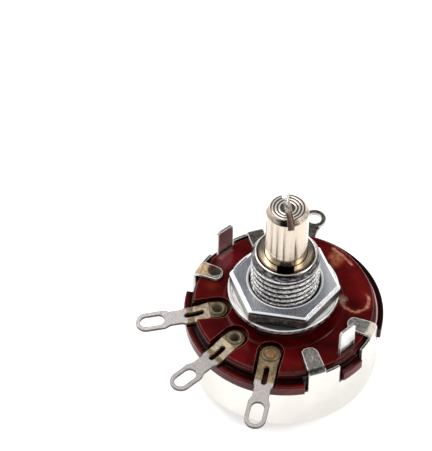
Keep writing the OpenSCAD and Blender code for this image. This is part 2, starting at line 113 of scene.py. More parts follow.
# The curled painted highlight in the resin, with painted glow round it: where it turns round, and
# its radius
CURL_CENTRE = (0.00688, 0.00759)
CURL_R = 0.0020


def toned(colour, factor):
    """A colour made darker or lighter, white at most."""
    return [min(1, c * factor) for c in colour]


class Socket:
    """An output of a node that takes part in sums: each sum adds its Math node."""

    def __init__(self, sheet, out):
        self.sheet = sheet
        self.out = out

    def math(self, operation, *others):
        """Adds a Math node that takes this output first and the others after it."""
        values = dict(enumerate((self, *others)))
        return self.sheet.node("ShaderNodeMath", {"operation": operation}, values)

    def reflected(self, operation, other):
        """Adds a Math node that takes the other value first and this output after it."""
        values = {0: other, 1: self}
        return self.sheet.node("ShaderNodeMath", {"operation": operation}, values)

    def __add__(self, other):
        return self.math("ADD", other)

    def __sub__(self, other):
        return self.math("SUBTRACT", other)

    def __mul__(self, other):
        return self.math("MULTIPLY", other)

    def __pow__(self, other):
        return self.math("POWER", other)

    __radd__ = __add__
    __rmul__ = __mul__

    def __rsub__(self, other):
        return self.reflected("SUBTRACT", other)

    def __rpow__(self, other):
        return self.reflected("POWER", other)

    def __abs__(self):
        return self.math("ABSOLUTE")


class NodeSheet:
    """The emptied node tree of a material or world, with one method that makes any node."""

    def __init__(self, owner):
        owner.use_nodes = True
        self.tree = owner.node_tree
        self.tree.nodes.clear()

    def node(self, kind, settings=None, inputs=None, output=0):
        """Makes a node: its settings come first, then the values or links of its sockets."""
        made = self.tree.nodes.new(kind)
        for name, value in (settings or {}).items():
            setattr(made, name, value)
        for key, value in (inputs or {}).items():
            if isinstance(value, Socket):
                self.tree.links.new(value.out, made.inputs[key])
            else:
                made.inputs[key].default_value = value
        return Socket(self, made.outputs[output]) if made.outputs else None

    def seen(self):
        """1 for what the eye, a mirror or glass sees, 0 for the light that falls on things."""
        eye = self.node("ShaderNodeLightPath", output="Is Camera Ray")
        mirror = self.node("ShaderNodeLightPath", output="Is Glossy Ray")
        glass = self.node("ShaderNodeLightPath", output="Is Transmission Ray")
        return eye.math("MAXIMUM", mirror).math("MAXIMUM", glass)


class Finish(NodeSheet):
    """A material in the making, with the patterns and masks that its layers are mixed by."""

    def __init__(self, name):
        self.material = bpy.data.materials.new(name)
        super().__init__(self.material)
        self.place = self.node("ShaderNodeTexCoord", output="Object")
        self.x, self.y, self.z = (
            self.node("ShaderNodeSeparateXYZ", None, {0: self.place}, output=i) for i in range(3)
        )
        self.radius = (self.x * self.x + self.y * self.y).math("SQRT")

    def noise(self, scale, detail=3.0, roughness=0.55, at=None):
        """Cloudy pattern from 0 to 1, scale in spots per metre."""
        values = {"Scale": scale, "Detail": detail, "Roughness": roughness}
        values["Vector"] = at or self.place
        return self.node("ShaderNodeTexNoise", None, values)

    def flecks(self, scale, detail, roughness, low, high, at=None):
        """Noise cut to flecks: 1 on them, 0 between; low and high set how many and how soft."""
        return self.step(self.noise(scale, detail, roughness, at), low, high)

    def stretched(self, x, y, z):
        """Object coordinates with each axis scaled, for streaks."""
        return self.node("ShaderNodeMapping", None, {"Vector": self.place, "Scale": (x, y, z)})

    def polar(self, around, out, up):
        """Coordinates that follow the turning marks: angle, radius and height."""
        angle = self.y.math("ARCTAN2", self.x)
        values = {0: angle * around, 1: self.radius * out, 2: self.z * up}
        return self.node("ShaderNodeCombineXYZ", None, values)

    def toward(self, direction):
        """Distance from the axis along a direction seen from above."""
        return self.x * direction[0] + self.y * direction[1]

    def step(self, value, low, high):
        """0 below low, 1 above high, smooth between."""
        settings = {"interpolation_type": "SMOOTHSTEP", "clamp": True}
        values = {"Value": value, "From Min": low, "From Max": high}
        return self.node("ShaderNodeMapRange", settings, values)

    def fade(self, value, low, high):
        """1 below low, 0 above high, smooth between."""
        return 1 - self.step(value, low, high)

    def band(self, value, centre, full, none):
        """1 where value is within full of centre, 0 beyond none of it."""
        return self.fade(abs(value - centre), full, none)

    def strongest(self, mask, *others):
        """The strongest of several masks at each point."""
        for other in others:
            mask = mask.math("MAXIMUM", other)
        return mask

    def mix(self, factor, a, b):
        """Colour a where factor is 0, colour b where it is 1."""
        a, b = (v if isinstance(v, Socket) else (*v, 1) for v in (a, b))
        values = {0: factor, 6: a, 7: b}
        return self.node("ShaderNodeMix", {"data_type": "RGBA"}, values, output=2)

    def rounded(self, radius):
        """Normal as if every edge had this radius."""
        return self.node("ShaderNodeBevel", {"samples": 6}, {"Radius": radius})

    def edges(self, radius, low=0.02, high=0.25):
        """Mask of the worn edges: 1 on an edge, 0 on a face."""
        flat = self.node("ShaderNodeNewGeometry", output="Normal")
        values = {0: flat, 1: self.rounded(radius)}
        same = self.node(
            "ShaderNodeVectorMath", {"operation": "DOT_PRODUCT"}, values, output="Value"
        )
        return self.step(1 - same, low, high)

    def crevice(self, reach):
        """Mask of the corners that other surfaces close in: 1 in a corner, 0 in the open."""
        values = {"Distance": reach}
        return 1 - self.node("ShaderNodeAmbientOcclusion", {"samples": 8}, values, output="AO")

    def facing(self, axis):
        """How far a face looks along an axis of the object, from -1 to 1."""
        normal = self.node("ShaderNodeNewGeometry", output="True Normal")
        return self.node("ShaderNodeSeparateXYZ", None, {0: normal}, output=axis)

    def upward(self):
        """1 on faces that look up, 0 on upright faces and those that look down."""
        return self.step(self.facing(2), 0.2, 0.6)

    def slanted(self):
        """1 on bevelled faces, 0 on faces that look up or sideways."""
        rise = self.facing(2)
        return self.step(rise, 0.2, 0.35) * self.fade(rise, 0.93, 0.98)

    def spot(self, x, y, radius, soft):
        """Round spot seen along the axis, with a soft edge."""
        across, along = self.x - x, self.y - y
        distance = (across * across + along * along).math("SQRT")
        return self.fade(distance, radius - soft, radius + soft)

    def arc(self, radius, width, middle, spread, wander=0.0, centre=(0.0, 0.0)):
        """Curved streak: part of a ring, as far as spread to each side of middle, in degrees."""
        across = self.x - centre[0] + wander
        along = self.y - centre[1] - wander
        away = abs((across * across + along * along).math("SQRT") - radius)
        turn = along.math("ARCTAN2", across) - math.radians(middle)
        off = abs(turn.math("WRAP", math.pi, -math.pi))
        end = math.radians(spread)
        return self.fade(away, width * 0.3, width) * self.fade(off, end * 0.75, end)

    def line(self, angle, width, low, high):
        """Straight line up a round side at an angle in degrees, fading out from low to high."""
        turn = self.y.math("ARCTAN2", self.x) - math.radians(angle)
        off = abs(turn.math("WRAP", math.pi, -math.pi)) * self.radius
        return self.fade(off, width * 0.3, width) * self.fade(self.z, low, high)

    def bump(self, height, depth, normal):
        """Normal pushed out by height, a value from 0 to 1, over depth in metres."""
        values = {"Height": height, "Distance": depth, "Strength": 1.0, "Normal": normal}
        return self.node("ShaderNodeBump", None, values)

    def finish(self, colour, roughness, normal, metallic, specular=0.5):
        """The shader and the output; specular is the same all over."""
        values = {"Base Color": colour, "Roughness": roughness, "Metallic": metallic}
        values["Normal"] = normal
        values["Specular IOR Level"] = specular
        shader = self.node("ShaderNodeBsdfPrincipled", None, values)
        self.node("ShaderNodeOutputMaterial", None, {"Surface": shader})
        return self.material


def dress(material, node):
    """Puts a material on a CAD node."""
    slots = NODES[node].material_slots
    if not slots:
        raise RuntimeError(f"{node} has no material slot")
    for slot in slots:
        slot.material = material


def mesh_object(name, bm, material):
    """Turns a bmesh into an object at the origin, in the scene, with its material."""
    mesh = bpy.data.meshes.new(name)
    bm.to_mesh(mesh)
    bm.free()
    mesh.materials.append(material)
    made = bpy.data.objects.new(name, mesh)
    bpy.context.scene.collection.objects.link(made)
    return made


def turned(profile, columns):
    """A closed section of (radius, height) points turned round the axis."""
    bm = bmesh.new()
    verts = [bm.verts.new((r, 0, z)) for r, z in profile]
    edges = [bm.edges.new((verts[i - 1], verts[i])) for i in range(len(verts))]
    bmesh.ops.spin(
        bm,
        geom=verts + edges,
        cent=(0, 0, 0),
        axis=(0, 0, 1),
        angle=2 * math.pi,
        steps=columns,
        use_merge=True,
    )
    return bm


def cut_thread(bm, pitch, depth):
    """Sinks a groove that winds up the crest and runs out at both ends and in the chamfer."""
    run_in, run_out = 0.0002, 0.0004
    crest_share, chamfer_slope = 1.25, 0.6
    for v in bm.verts:
        r, z = math.hypot(v.co.x, v.co.y), v.co.z
        if abs(r - CREST_R) >= ROUND_OFF:
            continue
        if not THREAD_LOW_Z - ROUND_OFF < z < THREAD_HIGH_Z + ROUND_OFF:
            continue
        turn = z / pitch - math.atan2(v.co.y, v.co.x) / (2 * math.pi)
        flank = min(1, crest_share * abs(2 * (turn % 1) - 1))
        fade = min(1, (z - THREAD_LOW_Z) / run_in, max(0, THREAD_HIGH_Z - z) / run_out)
        cut_r = r - depth * (1 - flank) * fade
        cut_r = min(cut_r, CREST_R - CHAMFER_DEPTH + chamfer_slope * (CHAMFER_LOW_Z - z))
        v.co.x *= cut_r / r
        v.co.y *= cut_r / r


class ThreadSizes(PropertyGroup):
    """Sizes of the bushing's thread."""

    pitch: FloatProperty(
        name="Pitch", description="Distance between turns", default=0.001, unit="LENGTH"
    )
    depth: FloatProperty(
        name="Depth", description="Depth of the thread", default=0.00052, unit="LENGTH"
    )
    columns: IntProperty(name="Columns", description="Steps round the bushing", default=160)


class FinishColours(PropertyGroup):
    """Colours of the finishes."""

    resin: FloatVectorProperty(
        name="Resin", description="Moulded base", default=(0.062, 0.0014, 0.0016), subtype="COLOR"
    )
    nickel: FloatVectorProperty(
        name="Nickel", description="Can", default=(0.88, 0.85, 0.80), subtype="COLOR"
    )
    bushing: FloatVectorProperty(
        name="Bushing", description="Threaded bushing", default=(0.74, 0.73, 0.71), subtype="COLOR"
    )
    zinc: FloatVectorProperty(
        name="Zinc", description="Nut", default=(0.58, 0.60, 0.64), subtype="COLOR"
    )
    washer: FloatVectorProperty(
        name="Washer", description="Flat washer", default=(0.99, 0.99, 0.97), subtype="COLOR"
    )
    shaft: FloatVectorProperty(
        name="Shaft", description="Turned shaft", default=(0.74, 0.64, 0.53), subtype="COLOR"
    )
    ring: FloatVectorProperty(
        name="Ring", description="Ring at the mouth", default=(0.92, 0.76, 0.55), subtype="COLOR"
    )
    tin: FloatVectorProperty(
        name="Tin", description="Terminals", default=(0.42, 0.385, 0.37), subtype="COLOR"
    )
    flux: FloatVectorProperty(
        name="Flux", description="Flux on terminals", default=(0.22, 0.15, 0.06), subtype="COLOR"
    )


class StudioSizes(PropertyGroup):
    """Light and camera."""

    room: FloatProperty(name="Room light", description="Strength of the room's light", default=0.55)
    key: FloatProperty(
        name="Key light", description="Power of the large lamp", default=1.6, unit="POWER"
    )
    fill: FloatProperty(
        name="Fill light", description="Power of the small lamp", default=0.85, unit="POWER"
    )
    azimuth: FloatProperty(
        name="Azimuth",
        description="Camera's direction",
        default=math.radians(47.5),
        subtype="ANGLE",
    )
    elevation: FloatProperty(
        name="Elevation",
        description="Camera's height angle",
        default=math.radians(49.3516),
        subtype="ANGLE",
    )
    distance: FloatProperty(
        name="Distance", description="Camera's distance", default=0.3146536, unit="LENGTH"
    )


def nickel_plate(colour):
    """Nickel-plated sheet: clouds at the back painted as reflections, mottled tabs with painted
    shade, white edges partly rubbed and partly painted highlight.
    """
    f = Finish("nickel plated sheet")
    cloud = f.noise(420, 4)
    fine = f.noise(5200, 3, 0.6)
    mottle = f.flecks(2900, 4, 0.75, 0.34, 0.66)
    level = f.upward()
    upright = 1 - level
    over_face = f.step(f.z, BASE_FACE_Z - 0.0001, BASE_FACE_Z)
    shade = f.mix(cloud, toned(colour, 0.84), colour)
    # Painted shade: corners that other surfaces close in are darkened
    shade = f.mix(f.crevice(0.0009) ** 2.2 * 0.6, shade, (0.07, 0.06, 0.055))

    # Level faces: mottled grey, darker than the walls as painted shade; painted shade darker still
    # on the rear tabs
    rear_tabs = f.step(f.toward(REAR_TABS), 0.004, 0.010)
    dull = level * (0.6 + 0.25 * rear_tabs)
    shade = f.mix(dull, shade, f.mix(mottle, (0.045, 0.040, 0.033), (0.70, 0.63, 0.53)))
    shade = f.mix(rear_tabs * level * 0.7, shade, (0.08, 0.07, 0.065))

    # The wall behind: wide light and dark clouds, painted reflections
    wall = upright * f.fade(f.z, BASE_FACE_Z - 0.0002, BASE_FACE_Z + 0.0002)
    behind = f.step(f.toward(REAR), 0.0010, 0.0080)
    clouds = f.flecks(110, 3, 0.5, 0.32, 0.68, f.stretched(1.0, 1.0, 1.8))
    wall_reflections = f.mix(clouds, (0.44, 0.395, 0.355), (0.72, 0.68, 0.63))
    wall_reflections = f.mix(mottle * 0.07, wall_reflections, (0.20, 0.17, 0.15))
    shade = f.mix(wall * behind * 0.95, shade, wall_reflections)

    # The back: satin, with a dark band round its step, a painted reflection
    under = f.fade(f.z, 0.0003, 0.0007)
    satin = f.mix(f.flecks(300, 4, 0.55, 0.35, 0.65), (0.46, 0.40, 0.36), (0.62, 0.54, 0.48))
    shade = f.mix(under, shade, satin)
    step_reflection = f.band(f.radius, BACK_STEP_R, 0.0003, 0.0005) * f.fade(f.z, 0.0013, 0.0015)
    shade = f.mix(step_reflection * 0.7, shade, (0.06, 0.05, 0.045))

    # The wall's upper rim
    rim = level * f.step(f.radius, 0.0134, 0.0135) * f.fade(f.radius, 0.0141, 0.0142)
    rim = rim * f.fade(f.z, BASE_FACE_Z + 0.0001, BASE_FACE_Z + 0.0003)
    shade = f.mix(rim * 0.85, shade, (0.03, 0.025, 0.02))

    # Locating lugs, painted reflections: the right one white, the left one reddish on its inward
    # face
    standing = upright * f.step(f.z, BASE_FACE_Z + 0.0008, BASE_FACE_Z + 0.0012)
    white = standing * f.step(f.x, 0.008, 0.009)
    shade = f.mix(white * 0.9, shade, (0.98, 0.98, 0.97))
    red_lug_reflection = standing * f.fade(f.x, -0.0115, -0.0105) * f.step(f.facing(0), 0.3, 0.6)
    shade = f.mix(red_lug_reflection * 0.6, shade, (0.86, 0.67, 0.70))

    # Left tab: bronze toward its bend, with a dark dish, painted shade of a dimple that has no
    # depth
    bronze = f.spot(-0.0118, -0.0046, 0.0013, 0.0005) * level
    shade = f.mix(bronze * 0.85, shade, f.mix(mottle, (0.45, 0.26, 0.13), (0.88, 0.62, 0.34)))
    dish = f.spot(-0.0107, -0.0037, 0.0011, 0.0002) * level
    dimple_shade = f.mix(mottle, (0.012, 0.004, 0.004), (0.10, 0.040, 0.035))
    shade = f.mix(dish * 0.9, shade, dimple_shade)

    # Edges painted near-white, partly rubbed and partly painted highlight; painted shade at the
    # front tab's root; the right tab's drawn bend
    edge = f.edges(0.00030, 0.01, 0.14) * 0.9
    shade = f.mix(edge, shade, (0.97, 0.95, 0.92))
    root = f.arc(FOLD_R, 0.00045, -23.5, 9) * over_face * f.flecks(2600, 3, 0.7, 0.36, 0.50)
    shade = f.mix(root * 0.9, shade, (0.02, 0.016, 0.013))
    drawn = f.arc(LIP_R, 0.00080, 27, 12) * over_face
    streaks = f.flecks(1.0, 4, 0.7, 0.40, 0.60, f.polar(120.0, 300.0, 0.0))
    shade = f.mix(drawn * 0.9, shade, f.mix(streaks, (0.40, 0.27, 0.17), (0.99, 0.95, 0.88)))

    rough = 0.24 + (cloud - 0.5) * 0.16 + (fine - 0.5) * 0.08
    metallic = 0.96 - edge * 0.90 * (1 - root) - drawn * 0.8 - bronze * 0.55
    metallic = metallic + dish * 0.4 - dull * mottle * 0.3 - white * 0.65
    return f.finish(shade, rough, f.bump(fine, 4e-6, f.rounded(0.00018)), metallic)


def golden_ring(colour):
    """Ring at the mouth: golden plating, brown toward its outer edge as painted shade, painted dull
    at the back, a painted highlight and painted shade at the shaft.
    """
    f = Finish("golden ring plate")
    cloud = f.noise(1100, 4)
    turning = f.noise(1.0, 3, 0.6, f.polar(2.0, 14000.0, 0.0))
    shade = f.mix(cloud, toned(colour, 0.72), colour)
    # Painted shade toward the outer edge, by the wall of the recess
    ragged = f.radius + (cloud - 0.5) * 0.0003
    outer = f.step(ragged, RECESS_R - 0.00042, RECESS_R - 0.00022)
    shade = f.mix(outer * 0.85, shade, (0.12, 0.06, 0.03))
    # Painted duller at the back, and a painted highlight near the shaft except at the back
    back = f.step(f.toward(REAR), -0.0009, 0.0006)
    shade = f.mix(back * 0.85, shade, (0.15, 0.14, 0.13))
    inner = f.fade(f.radius, SHAFT_R - 0.00008, SHAFT_R - 0.00002)
    shade = f.mix(inner * (1 - back), shade, (1.0, 0.90, 0.76))
    # Painted shade in the gap at the shaft
    contact_shade = f.band(f.radius, SHAFT_R + 0.00002, 0.00004, 0.00009)
    shade = f.mix(contact_shade, shade, DARK_GAP_SHADE)
    rough = 0.20 + turning * 0.14
    return f.finish(shade, rough, f.bump(turning, 6e-6, f.rounded(0.0001)), 0.7 - inner * 0.4)


def moulded_resin(colour):
    """Glossy dark red moulding: flow clouds, streaks on one side, painted glow and painted
    highlights, painted shade in the groove and corners.
    """
    f = Finish("moulded resin")
    flow = f.noise(260, 5, 0.6)
    grain = f.noise(7000, 2)
    wander = (f.noise(600, 3) - 0.5) * 0.0011
    broken = f.flecks(1700, 4, 0.7, 0.34, 0.60)
    face = f.step(f.z, BASE_FACE_Z - 0.0002, BASE_FACE_Z - 0.0001)
    level = f.upward()
    body = f.mix(f.step(flow, 0.3, 0.7), toned(colour, 0.55), toned(colour, 1.5))

    # Painted glow, as if light glowed in the resin: round the curled stroke, and in spots on the
    # left; a pale stroke painted as the left lug's reflection
    glow = f.strongest(
        f.arc(CURL_R, 0.0009, -20, 150, wander, CURL_CENTRE),
        f.spot(-0.0004, 0.0112, 0.0013, 0.0010),
        f.arc(0.0118, 0.0012, 74, 30, wander) * 0.35,
    )
    body = f.mix(glow * face * 0.5, body, (0.15, 0.010, 0.007))
    amber_glow = f.spot(-0.0091, -0.0057, 0.0008, 0.0008)
    body = f.mix(amber_glow * face * 0.45, body, (0.22, 0.020, 0.006))
    ruby_glow = f.spot(-0.0110, -0.0001, 0.0014, 0.0012)
    body = f.mix(ruby_glow * face * 0.7, body, (0.20, 0.003, 0.010))
    lug_reflection = f.arc(STREAK_R, 0.0005, 181, 7, wander * 0.4)
    body = f.mix(lug_reflection * face * 0.4, body, (0.42, 0.16, 0.15))

    # Amber streaks: the curled one, a painted highlight; its tail and foot, and a patch by the rim
    curl_highlight = f.arc(CURL_R, 0.00034, -38, 128, wander, CURL_CENTRE)
    patch = f.arc(STREAK_R, 0.00032, 91, 11, wander)
    tail = f.spot(-0.0007, 0.0113, 0.0009, 0.0008)
    foot = f.spot(0.0, 0.0102, 0.0006, 0.0006)
    orange = f.strongest(tail * 0.62, foot * 0.4) * (0.4 + broken * 0.6)
    body = f.mix(orange * face, body, (0.36, 0.12, 0.05))
    streak = f.strongest(
        curl_highlight * (0.25 + broken * 0.75),
        patch * (0.4 + broken * 0.6),
        tail * broken * 0.3,
    )
    amber = f.mix(f.noise(900, 3), (0.36, 0.085, 0.035), (0.50, 0.33, 0.23))
    body = f.mix(streak * face * 0.85, body, amber)
    blotch = f.spot(0.0055, 0.0062, 0.0008, 0.0004) * f.flecks(1300, 4, 0.7, 0.38, 0.6)
    body = f.mix(blotch * face * 0.75, body, (0.30, 0.24, 0.18))

    # Pale edges, wide and faint, then thin and sharp: painted highlights
    edge = f.edges(0.00026, 0.02, 0.3)
    body = f.mix(edge * 0.35, body, (0.36, 0.10, 0.085))
    sharp_highlight = f.edges(0.00013, 0.02, 0.2) * f.flecks(1100, 3, 0.55, 0.34, 0.5)
    body = f.mix(sharp_highlight * 0.7, body, (0.55, 0.24, 0.21))

    # Painted shade in the groove round the disc and in the corners, pale gloss painted on the outer
    # sides, painted shade on the rim's top on the right, and a painted highlight along the ledge's
    # edge
    right = f.arc(0.0137, 0.0020, 48, 52)
    groove = f.band(f.radius, DISC_R + 0.0005, 0.0003, 0.0005)
    body = f.mix(groove * (1 - face) * (0.85 - right * 0.45), body, (0.003, 0.0004, 0.0004))
    upright = (1 - level) * f.step(f.radius, 0.0135, 0.0137) * f.noise(1500, 3)
    body = f.mix(upright * 0.5, body, (0.24, 0.09, 0.09))
    body = f.mix(f.crevice(0.0018) ** 1.1, body, (0.007, 0.0006, 0.0006))
    flange_shade = right * level * f.step(f.radius, 0.0136, 0.0137)
    body = f.mix(flange_shade * 0.92, body, (0.006, 0.0005, 0.0005))
    lip_highlight = f.arc(LIP_R, 0.00013, 56, 34)
    body = f.mix(lip_highlight * (1 - face), body, (0.95, 0.60, 0.58))

    rough = 0.12 + flow * 0.12 + edge * 0.1
    normal = f.bump(grain, 1.5e-6, f.rounded(0.00014))
    return f.finish(body, rough, normal, 0.0, specular=0.13)


def bushing_metal(colour, depth):
    """Turned bushing: uneven crests painted bright as highlights, painted shade in the roots, a
    black floor under the ring's gap painted as shade.
    """
    f = Finish("threaded bushing metal")
    uneven = f.noise(1.0, 5, 0.75, f.polar(18.0, 0.0, 3600.0))
    marks = f.noise(1.0, 3, 0.6, f.polar(3.0, 9000.0, 9000.0))
    outside = f.step(f.radius, RECESS_R + 0.0001, RECESS_R + 0.0002)
    above_thread = f.step(f.z, MOUTH_Z - 0.0011, MOUTH_Z - 0.0009)
    threaded = f.step(f.z, NUT_TOP_Z - 0.001, NUT_TOP_Z - 0.0006) * (1 - above_thread)
    shade = f.mix(f.noise(900, 3), toned(colour, 0.6), colour)

    # Chamfer over the thread: dark, with turned marks
    chamfer = above_thread * f.fade(f.z, MOUTH_Z - 0.00016, MOUTH_Z - 0.00006)
    turning = f.flecks(1.0, 4, 0.7, 0.44, 0.66, f.polar(5.0, 0.0, 4200.0))
    shade = f.mix(
        chamfer * outside, shade, f.mix(turning, (0.022, 0.018, 0.020), (0.26, 0.24, 0.25))
    )

    # Painted shade in the thread's roots
    torn = f.radius + (uneven - 0.5) * 0.0008
    root = f.fade(torn, CREST_R - 0.44 * depth, CREST_R - 0.18 * depth)
    root_shade = root * threaded * outside
    shade = f.mix(root_shade * 0.96, shade, (0.022, 0.019, 0.02))

    # Floor and wall of the recess, painted dark as shade
    floor = f.fade(f.radius, 0.0036, 0.0038) * f.step(f.z, BASE_FACE_Z, BASE_FACE_Z + 0.001)
    shade = f.mix(floor, shade, (0.006, 0.005, 0.005))
    wall = (1 - outside) * f.step(f.z, RECESS_Z + 0.0001, RECESS_Z + 0.0003)
    wall = wall * f.fade(f.z, MOUTH_Z - 0.0003, MOUTH_Z - 0.0001)
    shade = f.mix(wall * 0.8, shade, (0.10, 0.06, 0.04))

    # Crests painted bright as painted highlights, with dark pits, and a painted highlight round the
    # mouth's edge
    crest = threaded * outside * (1 - root)
    shade = f.mix(crest * 0.85, shade, (0.97, 0.95, 0.93))
    pit = 1 - f.flecks(2800, 4, 0.8, 0.43, 0.52)
    shade = f.mix(pit * threaded * outside * 0.7, shade, (0.07, 0.06, 0.06))
    lip_highlight = f.step(f.z, MOUTH_Z - 0.00012, MOUTH_Z - 0.00004) * outside
    shade = f.mix(lip_highlight, shade, (0.95, 0.86, 0.76))

    rough = 0.15 + marks * 0.14 + root_shade * 0.3
    normal = f.bump(uneven * outside * threaded, 1.6e-4, f.rounded(0.00005))
    return f.finish(shade, rough, normal, 1 - crest * 0.16 - lip_highlight * 0.3)


def zinc_plate(colour):
    """Zinc-plated nut: speckled top, bevels and edges painted white as rubbing and highlight, sides
    with stains darkened as painted shade.
    """
    f = Finish("zinc plated nut")
    cloud = f.noise(700, 4)
    fine = f.noise(9000, 4, 0.7)
    level = f.upward()
    bevelled = f.slanted()
    shade = f.mix(f.flecks(5200, 5, 0.8, 0.42, 0.58), toned(colour, 0.38), colour)

    # Upright sides: stains, darkened as painted shade; painted shade in the corners
    side_stain_and_shade = f.mix(f.flecks(1100, 4, 0.7, 0.38, 0.62), (0.040, 0.022, 0.022), (0.11, 0.095, 0.075))
    side_stain_and_shade = f.mix(f.flecks(2600, 5, 0.8, 0.52, 0.64) * 0.7, side_stain_and_shade, (0.42, 0.38, 0.34))
    shade = f.mix((1 - level) * 0.9, shade, side_stain_and_shade)
    shade = f.mix(f.crevice(0.0012) ** 1.3, shade, ZINC_CORNER_SHADE)

    # Top: painted shade in front, a pale painted reflection on the right
    ahead = f.toward(NUT_FRONT)
    front = f.step(ahead, 0.0036, 0.0066) * level
    shade = f.mix(front * 0.25, shade, toned(colour, 0.22))
    right_highlight = f.step(f.toward(RIGHT), 0.0036, 0.0066) * level
    shade = f.mix(right_highlight * 0.6, shade, (0.95, 0.96, 0.98))

    # Bevels and edges painted white, partly rubbed and partly painted highlight; the front bevel
    # has painted shade below and a painted highlight above
    bevel = bevelled * f.flecks(2200, 4, 0.7, 0.22, 0.40)
    shade = f.mix(bevel, shade, (0.97, 0.98, 1.0))
    edge = f.edges(0.00042, 0.03, 0.22)
    rubbed = edge * level
    shade = f.mix(rubbed, shade, RUBBED_AND_LIT_ZINC)
    upper = f.step(f.z, NUT_TOP_Z - 0.00024, NUT_TOP_Z - 0.00018)
    bevel_shade = bevelled * f.step(ahead, 0.00665, 0.0067) * (1 - upper)
    shade = f.mix(bevel_shade * 0.9, shade, (0.07, 0.05, 0.045))
    bevel_highlight = bevelled * f.step(ahead, 0.0064, 0.0065) * upper
    shade = f.mix(bevel_highlight, shade, (0.95, 0.96, 1.0))

    # Mouth of the hole: painted shade in the gap beside the thread, and a painted highlight in a
    # ring round it
    gap = bevelled * f.fade(f.radius, 0.00512, 0.00518)
    shade = f.mix(gap, shade, (0.01, 0.01, 0.011))
    ring = f.band(f.radius, NUT_RING_R, 0.00013, 0.00022)
    shade = f.mix(ring, shade, (0.95, 0.95, 0.96))

    rough = 0.30 + (cloud - 0.5) * 0.12 - edge * 0.14 - bevel * 0.16
    metallic = 0.9 * (1 - rubbed * 0.85) - ring * 0.6 - bevel_highlight * 0.7 - right_highlight * 0.35
    normal = f.bump(fine, 5e-6, f.rounded(0.00016))
    return f.finish(shade, rough, normal, metallic.math("MAXIMUM", 0.0))


def flat_washer_plate(colour):
    """Bright washer: grey streaks round it, rim white partly rubbed and partly painted highlight,
    painted shade in its corners and beside the nut.
    """
    f = Finish("zinc plated washer")
    fine = f.noise(9000, 4, 0.7)
    streaks = f.flecks(1.0, 5, 0.8, 0.40, 0.50, f.polar(1.6, 5200.0, 0.0))
    shade = f.mix(streaks, toned(colour, 0.22), colour)
    open_side = f.step(f.toward(RIGHT), 0.0005, 0.0035)
    # Painted shade in the corners, lighter on the open right side
    shade = f.mix(f.crevice(0.0006) ** 1.4 * (1 - open_side * 0.9), shade, ZINC_CORNER_SHADE)
    shadow = f.step(f.toward(NUT_FRONT), 0.0066, 0.0069) * f.fade(f.radius, 0.00772, 0.0079)
    shade = f.mix(shadow * 0.95, shade, (0.012, 0.018, 0.022))
    side = f.mix(f.flecks(1200, 4, 0.55, 0.4, 0.6), (0.05, 0.02, 0.03), (0.30, 0.26, 0.22))
    shade = f.mix(1 - f.upward(), shade, side)
    # Rim painted white, partly rubbed and partly painted highlight
    edge = f.edges(0.00018, 0.03, 0.22)
    shade = f.mix(edge * 0.9, shade, RUBBED_AND_LIT_ZINC)
    metallic = (0.22 - edge * 0.15) * (1 - open_side * 0.9)
    normal = f.bump(fine, 5e-6, f.rounded(0.00012))
    return f.finish(shade, 0.22 + fine * 0.08, normal, metallic)


